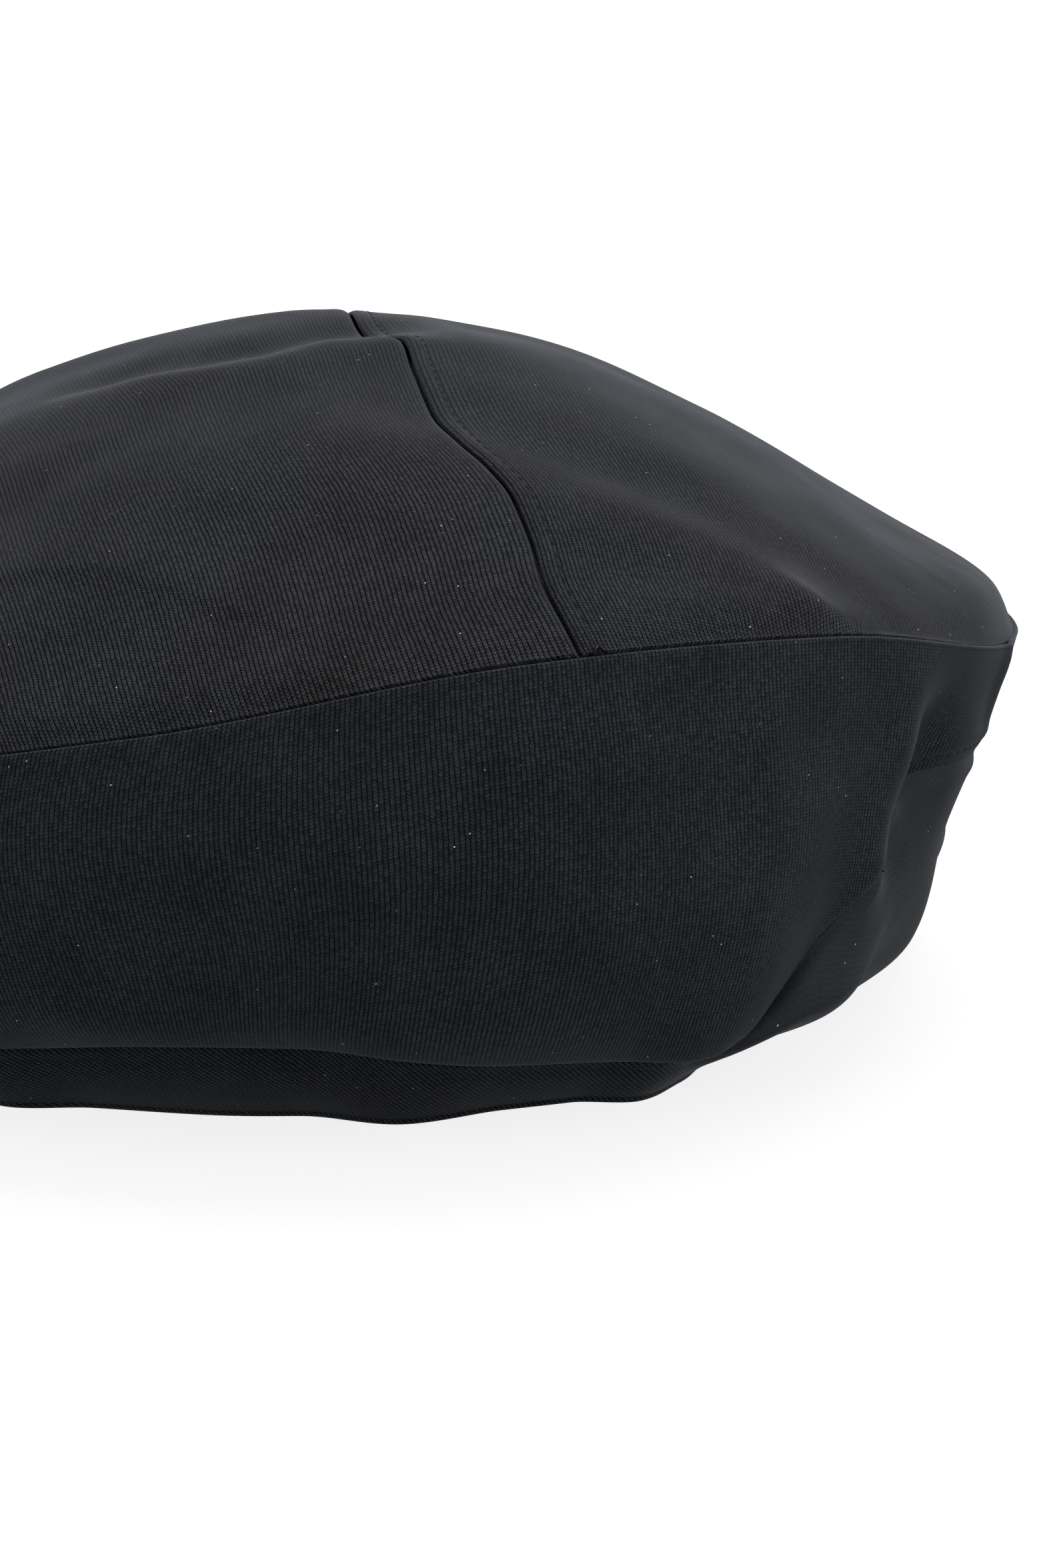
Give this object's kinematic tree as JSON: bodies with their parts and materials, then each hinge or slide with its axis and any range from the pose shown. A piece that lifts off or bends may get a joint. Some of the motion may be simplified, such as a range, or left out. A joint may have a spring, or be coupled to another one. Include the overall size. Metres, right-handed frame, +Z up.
{
  "type": "soft jersey toque hat",
  "caption": "Low soft unstructured hat with a two-piece domed crown, a deep sagging side panel and a bias-cut head band, lined inside.",
  "frame": {"origin": "centre of the head opening, on the plane of the hem that the hat rests on", "axes": "+Z up through the crown, -Y the front, +X the wearer's left; the crown seam runs parallel to Y"},
  "size_m": [0.2691, 0.2535, 0.133],
  "materials": {
    "crown_jersey": "black weft-knit jersey, fine vertical ribs, soft sheen",
    "side_jersey": "black weft-knit jersey, fine vertical ribs",
    "band_jersey": "black weft-knit jersey cut on the bias, diagonal ribs",
    "lining": "black plain-weave lining",
    "ribbon": "black grosgrain ribbon",
    "label": "blank woven label",
    "thread": "black sewing thread"
  },
  "bodies": {
    "root": {"crown_panel_left": "crown_jersey", "crown_panel_right": "crown_jersey", "side_panel_front": "side_jersey", "side_panel_back": "side_jersey", "head_band": "band_jersey", "crown_lining_left": "lining", "crown_lining_right": "lining", "side_lining_front": "lining", "side_lining_back": "lining", "sweatband": "ribbon", "blank_label": "label", "crown_topstitch": "thread", "band_topstitch": "thread"}
  },
  "joints": []
}
